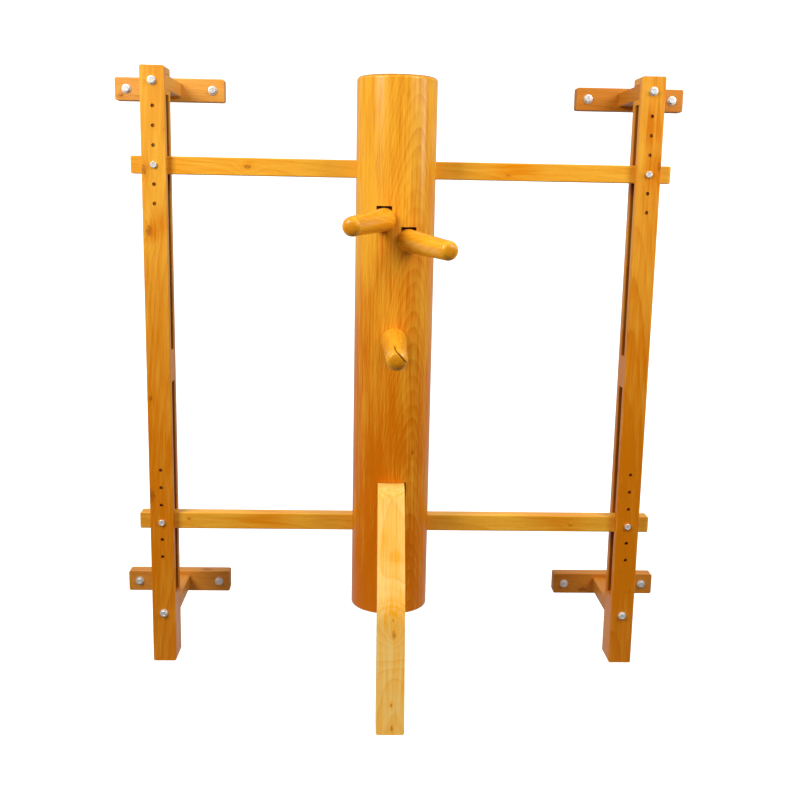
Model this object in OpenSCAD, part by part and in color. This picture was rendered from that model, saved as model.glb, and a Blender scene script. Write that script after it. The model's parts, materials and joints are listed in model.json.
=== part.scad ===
// Wall-mounted wooden training dummy: a round trunk with three arms and a leg,
// hung on two crossbars between slotted uprights that stand off the wall.
// X runs to the right, Y towards the wall, Z up. The wall plane is y = 0, and the
// origin is the centre of the eight wall screws.

/* [Frame] */
// Distance between the centre lines of the two uprights
upright_spacing = 1438; // [1300:1:1500]
// Length of an upright
upright_h = 1800; // [1790:1:1850]
// Width of an upright across its front face
upright_w = 71; // [66:1:80]
// Depth of an upright from its front face to its back face
upright_d = 95; // [92:1:105]
// Thickness of the wood in front of the slots
front_wall = 22; // [18:1:24]
// Depth of the slots, which hold the crossbars
slot_d = 44; // [44:1:46]
// Distance from the wall to the back of an upright
standoff_gap = 190; // [170:1:220]
// Height of the upright's bottom end below the origin
upright_drop = 958; // [950:1:965]

/* [Slots and adjusting holes] */
// Bottom and top of the lower slot, above the upright's bottom end
lower_slot_z = [217, 885]; // [210:1:890]
// Bottom and top of the upper slot, above the upright's bottom end
upper_slot_z = [980, 1722]; // [975:1:1725]
// Distance from one adjusting hole to the next
hole_pitch = 55; // [50:1:55]
// Diameter of the adjusting holes
hole_d = 11; // [11:0.1:12]
// Adjusting holes above each crossbar
holes_above = 3; // [1:1:3]
// Adjusting holes below each crossbar
holes_below = 2; // [1:1:2]

/* [Wall brackets] */
// Height of the bracket centres above and below the origin
bracket_z = 800; // [795:1:802]
// Length of a wall block
block_l = 338; // [320:1:350]
// Height of a wall block
block_h = 70; // [66:1:80]
// Thickness of a wall block
block_t = 42; // [38:1:44]
// Height of a standoff
standoff_h = 42; // [38:1:44]
// Distance between the two wall screws of one block
wall_screw_spacing = 265; // [255:1:275]

/* [Crossbars] */
// Length of a crossbar
bar_l = 1580; // [1560:1:1600]
// Height of a crossbar
bar_h = 51; // [46:1:52]
// Depth of a crossbar
bar_d = 42; // [38:1:42]
// Height of the upper crossbar's centre
upper_bar_z = 565; // [560:1:570]
// Height of the lower crossbar's centre
lower_bar_z = -507; // [-510:1:-500]

/* [Trunk] */
// Diameter of the trunk
trunk_d = 230; // [225:1:235]
// Length of the trunk
trunk_h = 1566; // [1550:1:1580]
// Height of the trunk's bottom end
trunk_bottom_z = -746; // [-750:1:-740]
// Trunk axis to the right of the frame's centre
trunk_x = -21; // [-60:1:60]
// Distance from the wall to the trunk axis
trunk_y = -344; // [-346:1:-342]
// Rounding of the trunk's top rim
top_rim_r = 11; // [6:1:16]

/* [Arms] */
// Length of each arm outside the trunk
arm_out = 300; // [280:1:320]
// Angle of the upper left arm away from straight ahead
left_arm_splay = 17.7; // [14:0.1:20]
// Angle of the upper right arm away from straight ahead
right_arm_splay = 19; // [14:0.1:20]
// Angle of each arm below level
arm_droop = 2.5; // [0:0.1:3]
// Diameter of an upper arm at the trunk
upper_arm_base_d = 67; // [64:1:70]
// Diameter of an upper arm at its tip
upper_arm_tip_d = 53; // [48:1:58]
// Diameter of the middle arm at the trunk
middle_arm_base_d = 74; // [72:1:78]
// Diameter of the middle arm at its tip
middle_arm_tip_d = 58; // [50:1:62]
// Height of the upper left arm's axis where it crosses the trunk axis
upper_left_z = 428; // [426:1:430]
// Height of the upper right arm's axis where it crosses the trunk axis
upper_right_z = 370.5; // [368:0.5:372]
// Height of the middle arm's axis where it crosses the trunk axis
middle_z = 86.5; // [60:0.5:120]
// Width of an arm's tenon
tenon_w = 44; // [40:1:46]
// Height of an arm's tenon
tenon_h = 43; // [40:1:43]
// How far an arm or the leg can be pulled forward
end_play = 8; // [4:1:10]

/* [Leg] */
// Width of the leg
leg_w = 78; // [70:1:80]
// Thickness of the leg in side view
leg_t = 72; // [66:1:73]
// Height of the leg's centre where it enters the trunk
leg_z = -376; // [-380:1:-370]
// Angle of the thigh below level
thigh_angle = 54.5; // [50:0.5:58]
// Angle of the calf below level
calf_angle = 75; // [70:0.5:80]
// Distance from the hip bend to the knee bend along the leg's centre line
thigh_l = 340; // [330:1:350]

/* [Hidden] */

$fn = 96;
past = 1;               // how far a cutting shape runs past the face it opens
arris_r = 3;            // rounding along the long edges of planed timber
block_corner_r = 8;     // rounding of a wall block's corners in front view
end_corner_r = 6;       // rounding of an upright's and a crossbar's corners in front view

upright_x = upright_spacing / 2;
upright_back = -standoff_gap - block_t;
upright_front = upright_back - upright_d;
slot_front = upright_front + front_wall;
bar_y = slot_front + slot_d / 2;

// Screws and bolts: shanks fit loosely in wood, threads bite
shank_r = 5;
thread_r = 4.75;
pilot_r = 4.25;
shank_hole_r = 5.5;
hex_af = 17;
head_h = 6.5;
nut_h = 8.4;
nut_play = 0.05;
tip_l = 8;                      // length of a wood screw's point
tip_r = 0.8;
wall_washer = [14, 2.5];        // outer radius and thickness
bracket_washer = [12.5, 2.5];
nut_washer = [10, 2];
wall_thread_l = 55;
bracket_bite = 90;
bolt_past_nut = 5;
join = 0.5;                     // overlap between the stretches of one screw

// Countersunk screws that hold each wall block to its standoff from behind
block_screw_x = 20;             // distance of each screw from the standoff's centre
block_screw_l = 90;
block_screw_r = 3;
block_screw_head = [5.5, 4];    // radius and height
block_screw_sink = [5.8, 4.2];  // radius and depth of the countersink
block_screw_hole_r = 3.3;
block_screw_pilot_r = 2.5;

trunk_r = trunk_d / 2;
seat_gap = 0.3;         // clearance between parts that move on each other
bar_play = 1;           // clearance in front of and behind a crossbar in the trunk
bar_drop = 4;           // clearance under a crossbar in the trunk

// Arm tenons and mortises, measured from the arm's axis
mortise_h = 50;
mortise_side = 1;               // clearance beside a tenon
tenon_rest = 0.5;               // clearance under a tenon
upper_mortise_top = 38.5;       // the round's top is level with the tenon's
middle_mortise_top = 30;
nose_l = 24;                    // length of the domed end of an arm
nose_fullness = 2.6;            // 2 would make the dome an ellipse, more makes it blunter
arm_inside = 30;                // length of the round that is cut back to the trunk
tenon_root = 8;                 // length of the tenon inside the round, past the trunk
tenon_inset = 0.5;              // the round that the tenon is cut from is this much smaller

// Pegs that hold the arms and the leg in from behind
peg_r = 7;
peg_hole_r = 7.08;
peg_head_r = 11;
peg_head_h = 12;
peg_below = 24;                 // length that stands out under the tenon
peg_seat_gap = 0.05;
peg_clear = 8;                  // room to lift a peg with its arm pulled fully forward
peg_at = trunk_r + end_play + peg_clear + peg_head_r;   // distance behind the trunk axis
tail_end = peg_at + 26;

// Leg: full section to the shoulder inside the trunk, then a square tenon
leg_arris_r = 6;
leg_side_gap = [1, 5];          // clearance at the leg's left and right
leg_height_gap = 1.4;           // clearance above and below the leg
leg_x = (leg_side_gap[0] - leg_side_gap[1]) / 2;
leg_mortise_w = leg_w + leg_side_gap[0] + leg_side_gap[1];
leg_shoulder = 12;
leg_tenon = 44;
hip_gap = 2;                    // level length in front of the trunk
hip_r = 45;
knee_r = 150;
knee_turn = calf_angle - thigh_angle;
bend_step = 3;                  // degrees from one point of a bend to the next
hip_tangent = hip_r * tan(thigh_angle / 2);
knee_tangent = knee_r * tan(knee_turn / 2);
thigh_straight = thigh_l - hip_tangent - knee_tangent;
calf_straight = 420;            // runs below the foot before that is cut off level

timber = "#d2882c";
steel = "#c9cdd0";

// ---- shared shapes ----

// A rectangle with true arcs at its corners, centred on the origin
module rounded_rectangle(w, h, r) {
    square([w - 2 * r, h], center = true);
    square([w, h - 2 * r], center = true);
    for (x = [-1, 1], y = [-1, 1])
        translate([x * (w / 2 - r), y * (h / 2 - r)])
            circle(r);
}

// A timber along Z with rounded long edges and end corners, standing on z = 0
module timber_z(w, d, l, r, corner_r) {
    intersection() {
        linear_extrude(l)
            rounded_rectangle(w, d, r);
        translate([0, 0, l / 2])
            rotate([90, 0, 0])
                linear_extrude(d, center = true)
                    rounded_rectangle(w, l, corner_r);
    }
}

// A timber along X, centred, with rounded long edges and end corners
module timber_x(l, d, h, r, corner_r) {
    intersection() {
        translate([-l / 2, 0, 0])
            rotate([90, 0, 90])
                linear_extrude(l)
                    rounded_rectangle(d, h, r);
        rotate([90, 0, 0])
            linear_extrude(d, center = true)
                rounded_rectangle(l, h, corner_r);
        linear_extrude(h, center = true)
            rounded_rectangle(l, d, r);
    }
}

// A cylinder along Y from y0 to y1
module rod_y(r, y0, y1) {
    translate([0, y0, 0])
        rotate([-90, 0, 0])
            cylinder(r = r, h = y1 - y0);
}

// A hexagonal head or nut along Y, its chamfered face at y0
module hex_y(y0, h) {
    corner_r = hex_af / sqrt(3);
    chamfer_slope = 1.6;
    intersection() {
        translate([0, y0, 0])
            rotate([-90, 0, 0])
                cylinder(r = corner_r, h = h, $fn = 6);
        translate([0, y0, 0])
            rotate([-90, 0, 0])
                cylinder(r1 = hex_af / 2, r2 = hex_af / 2 + h * chamfer_slope, h = h);
    }
}

// A flat washer along Y with its front face at y0
module washer_y(size, y0) {
    difference() {
        rod_y(size[0], y0, y0 + size[1]);
        rod_y(shank_hole_r, y0 - past, y0 + size[1] + past);
    }
}

// A hexagon-headed wood screw along Y: head, shank, thread and point
module coach_screw(head_y, shank_end, thread_end) {
    hex_y(head_y - head_h, head_h);
    rod_y(shank_r, head_y - join, shank_end);
    rod_y(thread_r, shank_end - join, thread_end);
    translate([0, thread_end, 0])
        rotate([-90, 0, 0])
            cylinder(r1 = thread_r, r2 = tip_r, h = tip_l);
}

// A countersunk wood screw along -Y, its head flush at y = 0
module flat_screw() {
    rotate([90, 0, 0]) {
        cylinder(r1 = block_screw_head[0], r2 = block_screw_r, h = block_screw_head[1]);
        cylinder(r = block_screw_r, h = block_screw_l - tip_l);
        translate([0, 0, block_screw_l - tip_l])
            cylinder(r1 = block_screw_r, r2 = tip_r, h = tip_l);
    }
}

// ---- frame ----

function hole_heights(bar_z) =
    [for (i = [-holes_below : holes_above]) bar_z + i * hole_pitch];

// Sides are -1 for the left and 1 for the right, and levels -1 for the lower bracket
// and 1 for the upper one
module at_brackets() {
    for (side = [-1, 1], level = [-1, 1])
        translate([side * upright_x, 0, level * bracket_z])
            children();
}

module at_wall_screws() {
    at_brackets()
        for (end = [-1, 1])
            translate([end * wall_screw_spacing / 2, 0, 0])
                children();
}

module at_crossbar_bolts() {
    for (side = [-1, 1], z = [upper_bar_z, lower_bar_z])
        translate([side * upright_x, 0, z])
            children();
}

module upright(side) {
    color(timber)
        translate([side * upright_x, 0, 0])
            difference() {
                translate([0, upright_front + upright_d / 2, -upright_drop])
                    timber_z(upright_w, upright_d, upright_h, arris_r, end_corner_r);
                for (slot = [lower_slot_z, upper_slot_z])
                    translate([-upright_w / 2 - past, slot_front, slot[0] - upright_drop])
                        cube([upright_w + 2 * past, slot_d, slot[1] - slot[0]]);
                upper_standoff_notch();
                for (z = concat(hole_heights(upper_bar_z), hole_heights(lower_bar_z)))
                    translate([0, 0, z])
                        rod_y(hole_d / 2, upright_front - past, upright_back + past);
                for (z = [-bracket_z, bracket_z])
                    translate([0, 0, z])
                        rod_y(shank_hole_r, upright_front - past, upright_back + past);
            }
}

// The upper standoff is let into the upright from behind, across its full width
module upper_standoff_notch() {
    translate([-upright_w / 2 - past, slot_front, bracket_z - standoff_h / 2])
        cube([upright_w + 2 * past, upright_d, standoff_h]);
}

module left_upright() {
    upright(-1);
}

module right_upright() {
    upright(1);
}

module wall_block(side, level) {
    color(timber)
        translate([side * upright_x, -block_t / 2, level * bracket_z])
            difference() {
                timber_x(block_l, block_t, block_h, arris_r, block_corner_r);
                for (end = [-1, 1])
                    translate([end * wall_screw_spacing / 2, 0, 0])
                        rod_y(shank_hole_r, -block_t, block_t);
                translate([0, block_t / 2, 0])
                    block_screw_holes();
            }
}

// Countersunk clearance holes for the two screws that hold a standoff
module block_screw_holes() {
    for (end = [-1, 1])
        translate([end * block_screw_x, 0, 0])
            rotate([90, 0, 0]) {
                translate([0, 0, -past])
                    cylinder(r = block_screw_hole_r, h = block_t + 2 * past);
                cylinder(r1 = block_screw_sink[0], r2 = block_screw_hole_r,
                    h = block_screw_sink[1]);
            }
}

module standoff(side, level) {
    front = level > 0 ? slot_front : upright_back;
    back = -block_t;
    color(timber)
        translate([side * upright_x, 0, level * bracket_z])
            difference() {
                translate([0, back, 0])
                    rotate([90, 0, 0])
                        linear_extrude(back - front)
                            rounded_rectangle(upright_w, standoff_h, arris_r);
                rod_y(pilot_r, front - past, front + bracket_bite + tip_l);
                for (end = [-1, 1])
                    translate([end * block_screw_x, 0, 0])
                        rod_y(block_screw_pilot_r, -block_screw_l - past, back + past);
            }
}

module upper_left_wall_block() {
    wall_block(-1, 1);
}

module upper_right_wall_block() {
    wall_block(1, 1);
}

module lower_left_wall_block() {
    wall_block(-1, -1);
}

module lower_right_wall_block() {
    wall_block(1, -1);
}

module upper_left_standoff() {
    standoff(-1, 1);
}

module upper_right_standoff() {
    standoff(1, 1);
}

module lower_left_standoff() {
    standoff(-1, -1);
}

module lower_right_standoff() {
    standoff(1, -1);
}

module wall_screws() {
    color(steel)
        at_wall_screws()
            coach_screw(-block_t - wall_washer[1], seat_gap, wall_thread_l - tip_l);
}

module wall_washers() {
    color(steel)
        at_wall_screws()
            washer_y(wall_washer, -block_t - wall_washer[1]);
}

module bracket_screws() {
    head_y = upright_front - bracket_washer[1];
    color(steel)
        for (side = [-1, 1], level = [-1, 1])
            translate([side * upright_x, 0, level * bracket_z]) {
                wood_y = level > 0 ? slot_front : upright_back;
                coach_screw(head_y, wood_y, wood_y + bracket_bite);
            }
}

module bracket_washers() {
    color(steel)
        at_brackets()
            washer_y(bracket_washer, upright_front - bracket_washer[1]);
}

module block_screws() {
    color("#b9a24a")
        at_brackets()
            for (end = [-1, 1])
                translate([end * block_screw_x, 0, 0])
                    flat_screw();
}

module crossbar(z) {
    color(timber)
        translate([0, bar_y, z])
            difference() {
                timber_x(bar_l, bar_d, bar_h, arris_r, end_corner_r);
                for (side = [-1, 1])
                    translate([side * upright_x, 0, 0])
                        rod_y(shank_hole_r, -bar_d, bar_d);
            }
}

module upper_crossbar() {
    crossbar(upper_bar_z);
}

module lower_crossbar() {
    crossbar(lower_bar_z);
}

module crossbar_bolts() {
    thread_end = upright_back + nut_washer[1] + nut_h + bolt_past_nut;
    color(steel)
        at_crossbar_bolts() {
            hex_y(upright_front - head_h, head_h);
            rod_y(shank_r, upright_front - join, thread_end);
        }
}

module crossbar_washers() {
    color(steel)
        at_crossbar_bolts()
            washer_y(nut_washer, upright_back);
}

module crossbar_nuts() {
    nut_y = upright_back + nut_washer[1];
    color(steel)
        at_crossbar_bolts()
            difference() {
                mirror([0, 1, 0])
                    hex_y(-nut_y - nut_h, nut_h);
                rod_y(shank_r + nut_play, nut_y - past, nut_y + nut_h + past);
            }
}

// ---- trunk ----

// Places a shape at the trunk axis, at height z
module on_trunk(z) {
    translate([trunk_x, trunk_y, z])
        children();
}

// Turns a shape made along -Y into an arm's direction: splay to the right, droop down
module arm_direction(splay) {
    rotate([0, 0, splay])
        rotate([arm_droop, 0, 0])
            children();
}

module trunk_blank() {
    bottom_r = 2;
    rotate_extrude() {
        translate([0, bottom_r])
            square([trunk_r, trunk_h - bottom_r - top_rim_r]);
        square([trunk_r - bottom_r, bottom_r + past]);
        translate([0, trunk_h - top_rim_r - past])
            square([trunk_r - top_rim_r, top_rim_r + past]);
        translate([trunk_r - top_rim_r, trunk_h - top_rim_r])
            circle(top_rim_r);
        translate([trunk_r - bottom_r, bottom_r])
            circle(bottom_r);
    }
}

module arm_mortise(top) {
    width = tenon_w + 2 * mortise_side;
    translate([-width / 2, -trunk_d, top - mortise_h])
        cube([width, 2 * trunk_d, mortise_h]);
}

module leg_mortise() {
    height = leg_t + 2 * leg_height_gap;
    tenon_mortise = leg_tenon + 2 * mortise_side;
    translate([-leg_mortise_w / 2, -trunk_d, -height / 2])
        cube([leg_mortise_w, trunk_d + leg_shoulder, height]);
    translate([leg_x - tenon_mortise / 2, 0, -tenon_mortise / 2])
        cube([tenon_mortise, trunk_d, tenon_mortise]);
}

// A slot through the trunk for a crossbar, which carries it at the slot's ceiling
module bar_slot(z) {
    height = bar_h + seat_gap + bar_drop;
    translate([trunk_x - trunk_d, bar_y - bar_d / 2 - bar_play, z - bar_h / 2 - bar_drop])
        cube([2 * trunk_d, bar_d + 2 * bar_play, height]);
}

module trunk() {
    color("#c87a1c")
        difference() {
            on_trunk(trunk_bottom_z)
                trunk_blank();
            for (z = [upper_bar_z, lower_bar_z])
                bar_slot(z);
            on_trunk(upper_left_z)
                arm_direction(-left_arm_splay)
                    arm_mortise(upper_mortise_top);
            on_trunk(upper_right_z)
                arm_direction(right_arm_splay)
                    arm_mortise(upper_mortise_top);
            on_trunk(middle_z)
                arm_direction(0)
                    arm_mortise(middle_mortise_top);
            on_trunk(leg_z)
                leg_mortise();
        }
}

// ---- arms ----

// The side of an arm: it tapers faster near the trunk than near the tip
function taper_points(base_r, tip_r) =
    let (steps = 6, l = arm_out - nose_l - 1)
    [for (i = [0 : steps]) [base_r + (tip_r - base_r) * pow(i / steps, 0.8), l * i / steps]];

// The dome at an arm's tip, a quarter of a superellipse that ends on the arm's axis
function nose_points(tip_r) =
    [for (a = [0 : 7.5 : 90])
        [tip_r * pow(cos(a), 2 / nose_fullness),
            arm_out - nose_l + nose_l * pow(sin(a), 2 / nose_fullness)]];

module arm_round(base_r, tip_r) {
    translate([0, -trunk_r, 0])
        rotate([90, 0, 0])
            rotate_extrude()
                polygon(concat(
                    [[0, -arm_inside], [base_r, -arm_inside]],
                    taper_points(base_r, tip_r),
                    nose_points(tip_r)));
}

// A square tenon cut from a round, which rounds off the corners that reach past it
module arm_tenon(top, base_r) {
    front = -trunk_r - tenon_root;
    difference() {
        intersection() {
            translate([-tenon_w / 2, front, top - tenon_h])
                cube([tenon_w, tail_end - front, tenon_h]);
            rod_y(base_r - tenon_inset, front - past, tail_end + past);
        }
        translate([0, peg_at, top - tenon_h - past])
            cylinder(r = peg_hole_r, h = tenon_h + 2 * past);
    }
}

function tenon_top(mortise_top) = mortise_top - mortise_h + tenon_rest + tenon_h;

module arm(z, splay, base_d, tip_d, mortise_top) {
    color(timber)
        union() {
            difference() {
                on_trunk(z)
                    arm_direction(splay)
                        arm_round(base_d / 2, tip_d / 2);
                on_trunk(z - trunk_r)
                    cylinder(r = trunk_r + seat_gap, h = trunk_d);
            }
            on_trunk(z)
                arm_direction(splay)
                    arm_tenon(tenon_top(mortise_top), base_d / 2);
        }
}

// A turned peg with a knob head, standing in the hole of an arm or the leg
module peg(seat, depth) {
    translate([0, peg_at, seat + peg_seat_gap])
        rotate_extrude()
            peg_profile(depth);
}

module peg_profile(depth) {
    below = depth + peg_below;
    knob_r = 4;
    point = 4;
    polygon([[0, -below], [peg_r - 2, -below], [peg_r, -below + point],
        [peg_r, 0], [peg_head_r - 1, 0], [peg_head_r, 1],
        [peg_head_r, peg_head_h - knob_r], [0, peg_head_h - knob_r]]);
    translate([0, peg_head_h - knob_r - past])
        square([peg_head_r - knob_r, knob_r + past]);
    translate([peg_head_r - knob_r, peg_head_h - knob_r])
        circle(knob_r);
}

module arm_peg(z, splay, mortise_top) {
    color("#b5701f")
        on_trunk(z)
            arm_direction(splay)
                peg(tenon_top(mortise_top), tenon_h);
}

module upper_left_arm() {
    arm(upper_left_z, -left_arm_splay, upper_arm_base_d, upper_arm_tip_d, upper_mortise_top);
}

module upper_right_arm() {
    arm(upper_right_z, right_arm_splay, upper_arm_base_d, upper_arm_tip_d, upper_mortise_top);
}

module middle_arm() {
    arm(middle_z, 0, middle_arm_base_d, middle_arm_tip_d, middle_mortise_top);
}

module upper_left_arm_peg() {
    arm_peg(upper_left_z, -left_arm_splay, upper_mortise_top);
}

module upper_right_arm_peg() {
    arm_peg(upper_right_z, right_arm_splay, upper_mortise_top);
}

module middle_arm_peg() {
    arm_peg(middle_z, 0, middle_mortise_top);
}

// ---- leg ----

// Direction of the leg's centre line at an angle below level, and the way its front faces
function along(angle) = [-cos(angle), -sin(angle)];
function front(angle) = [-sin(angle), cos(angle)];

// Centre line of a bend that starts at a point: each entry is a place and an angle
function bend(start, r, from, to) =
    let (steps = ceil((to - from) / bend_step))
    [for (i = [0 : steps])
        let (angle = from + (to - from) * i / steps)
        [start + r * (front(angle) - front(from)), angle]];

// Centre line of the leg in side view, from its shoulder to past the foot
function leg_line() =
    let (
        hip = bend([-trunk_r - hip_gap, 0], hip_r, 0, thigh_angle),
        knee_start = hip[len(hip) - 1][0] + thigh_straight * along(thigh_angle),
        knee = bend(knee_start, knee_r, thigh_angle, calf_angle),
        foot = knee[len(knee) - 1][0] + calf_straight * along(calf_angle)
    )
    concat([[[leg_shoulder - seat_gap, 0], 0]], hip, knee, [[foot, calf_angle]]);

// The leg's outline in side view, at half its thickness from the centre line
function leg_outline(half) =
    let (line = leg_line(), last = len(line) - 1)
    concat([for (p = line) p[0] + half * front(p[1])],
        [for (i = [last : -1 : 0]) line[i][0] - half * front(line[i][1])]);

module leg_body() {
    translate([-leg_w / 2, 0, 0])
        rotate([90, 0, 90])
            linear_extrude(leg_w)
                polygon(leg_outline(leg_t / 2));
}

// The leg's outline in front view, which cuts the foot off level with the uprights' ends
module leg_front_view() {
    height = upright_drop;
    depth = 2 * upright_drop;
    translate([0, 0, height / 2 - upright_drop - leg_z])
        rotate([90, 0, 0])
            linear_extrude(depth, center = true)
                rounded_rectangle(leg_w, height, leg_arris_r);
}

module leg_tenon_bar() {
    difference() {
        translate([-leg_tenon / 2, 0, -leg_tenon / 2])
            cube([leg_tenon, tail_end, leg_tenon]);
        translate([0, peg_at, -leg_tenon])
            cylinder(r = peg_hole_r, h = 2 * leg_tenon);
    }
}

module leg() {
    color("#dca04a")
        on_trunk(leg_z)
            translate([leg_x, 0, 0]) {
                intersection() {
                    leg_body();
                    leg_front_view();
                }
                leg_tenon_bar();
            }
}

module leg_peg() {
    color("#b5701f")
        on_trunk(leg_z)
            translate([leg_x, 0, 0])
                peg(leg_tenon / 2, leg_tenon);
}

left_upright();
right_upright();
upper_left_wall_block();
upper_right_wall_block();
lower_left_wall_block();
lower_right_wall_block();
upper_left_standoff();
upper_right_standoff();
lower_left_standoff();
lower_right_standoff();
wall_screws();
wall_washers();
bracket_screws();
bracket_washers();
block_screws();
upper_crossbar();
lower_crossbar();
crossbar_bolts();
crossbar_nuts();
crossbar_washers();
trunk();
upper_left_arm();
upper_right_arm();
middle_arm();
leg();
upper_left_arm_peg();
upper_right_arm_peg();
middle_arm_peg();
leg_peg();
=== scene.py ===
import json
import math
import random

import bmesh
import bpy
from mathutils import Matrix, Vector


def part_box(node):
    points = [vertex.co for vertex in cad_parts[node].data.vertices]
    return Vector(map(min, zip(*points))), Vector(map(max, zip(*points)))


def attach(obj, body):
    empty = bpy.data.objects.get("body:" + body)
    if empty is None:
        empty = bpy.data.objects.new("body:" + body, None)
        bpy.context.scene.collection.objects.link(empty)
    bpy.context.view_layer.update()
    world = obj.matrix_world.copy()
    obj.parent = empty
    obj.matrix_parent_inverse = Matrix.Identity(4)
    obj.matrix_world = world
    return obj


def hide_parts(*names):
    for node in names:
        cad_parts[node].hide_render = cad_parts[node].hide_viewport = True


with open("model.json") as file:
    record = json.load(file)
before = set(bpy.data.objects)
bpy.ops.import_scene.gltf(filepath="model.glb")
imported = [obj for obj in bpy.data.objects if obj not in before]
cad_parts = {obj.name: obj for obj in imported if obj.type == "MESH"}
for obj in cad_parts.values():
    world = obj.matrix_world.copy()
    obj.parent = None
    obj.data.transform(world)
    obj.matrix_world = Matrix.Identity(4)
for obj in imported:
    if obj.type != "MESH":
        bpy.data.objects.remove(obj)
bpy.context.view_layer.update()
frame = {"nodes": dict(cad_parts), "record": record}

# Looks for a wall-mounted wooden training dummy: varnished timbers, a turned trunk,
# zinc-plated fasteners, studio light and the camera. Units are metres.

random.seed(7)
scene = bpy.context.scene
nodes = frame["nodes"]


# ---------------------------------------------------------------- small helpers

def srgb(r, g, b):
    """A linear colour from display values between 0 and 255."""
    def channel(v):
        v = v / 255
        return v / 12.92 if v <= 0.04045 else ((v + 0.055) / 1.055) ** 2.4
    return (channel(r), channel(g), channel(b), 1.0)


def centre(node):
    low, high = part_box(node)
    return (low + high) / 2


def half_size(node):
    low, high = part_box(node)
    return (high - low) / 2


class Graph:
    """Builds one material's nodes. An input is a number, a tuple or another node's output."""

    def __init__(self, name):
        self.material = bpy.data.materials.new(name)
        self.material.use_nodes = True
        self.tree = self.material.node_tree
        self.shader = self.tree.nodes["Principled BSDF"]

    def put(self, socket, value):
        if isinstance(value, bpy.types.NodeSocket):
            self.tree.links.new(value, socket)
        elif value is not None:
            socket.default_value = value

    def node(self, kind, *values, **settings):
        made = self.tree.nodes.new(kind)
        for key, value in settings.items():
            setattr(made, key, value)
        for socket, value in zip(made.inputs, values):
            self.put(socket, value)
        return made

    def math(self, operation, *values, clamp=False):
        return self.node("ShaderNodeMath", *values, operation=operation, use_clamp=clamp).outputs[0]

    def vector(self, operation, *values):
        made = self.node("ShaderNodeVectorMath", *values, operation=operation)
        return made.outputs["Value" if operation in ("LENGTH", "DOT_PRODUCT") else "Vector"]

    def times(self, vector, scale):
        return self.vector("MULTIPLY", vector, scale)

    def ramp(self, value, low, high, to_low=0.0, to_high=1.0):
        """A smooth step from low to high."""
        made = self.node("ShaderNodeMapRange", value, low, high, to_low, to_high)
        made.interpolation_type = "SMOOTHSTEP"
        return made.outputs[0]

    def noise(self, vector, scale=1.0, detail=2.0, roughness=0.5):
        made = self.node("ShaderNodeTexNoise")
        self.put(made.inputs["Vector"], vector)
        made.inputs["Scale"].default_value = scale
        made.inputs["Detail"].default_value = detail
        made.inputs["Roughness"].default_value = roughness
        return made.outputs[0]

    def mix(self, factor, a, b, blend="MIX"):
        made = self.node("ShaderNodeMix", data_type="RGBA", blend_type=blend)
        self.put(made.inputs[0], factor)
        self.put(made.inputs[6], a)
        self.put(made.inputs[7], b)
        return made.outputs[2]

    def bump(self, height, distance, strength=1.0, normal=None):
        made = self.node("ShaderNodeBump")
        made.inputs["Strength"].default_value = strength
        made.inputs["Distance"].default_value = distance
        self.put(made.inputs["Height"], height)
        self.put(made.inputs["Normal"], normal)
        return made.outputs[0]


# ---------------------------------------------------------------- wood

GRAIN_Z = (0.0, 0.0, 0.0)
GRAIN_X = (0.0, math.pi / 2, 0.0)
GRAIN_Y = (-math.pi / 2, 0.0, 0.0)


KNOT_PUSH = 0.3         # of a knot's reach: how far growth rings move round it


def knots_at(graph, local, knots):
    """Knots are (x, y, z, radius, reach) in the timber's own frame, where z is along the
    grain. Growth rings bend round a knot within its reach. Returns how far the knots push
    the rings, their stained surroundings, their cores and their rims."""
    push, halo, core, rim = 0.0, 0.0, 0.0, 0.0
    for x, y, z, radius, reach in knots:
        away = graph.times(graph.vector("SUBTRACT", local, (x, y, z)), (1.0, 1.0, 0.55))
        distance = graph.vector("LENGTH", away)
        near = graph.ramp(distance, reach, 0.0)
        push = graph.math("MULTIPLY_ADD", near, reach * KNOT_PUSH, push)
        halo = graph.math("MAXIMUM", halo, graph.ramp(distance, radius * 3.2, radius * 0.6))
        core = graph.math("MAXIMUM", core, graph.ramp(distance, radius * 1.3, radius * 0.3))
        ring = graph.math("ABSOLUTE", graph.math("SUBTRACT", distance, radius * 0.9))
        rim = graph.math("MAXIMUM", rim, graph.ramp(ring, radius * 0.35, 0.0))
    return push, halo, core, rim


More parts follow.
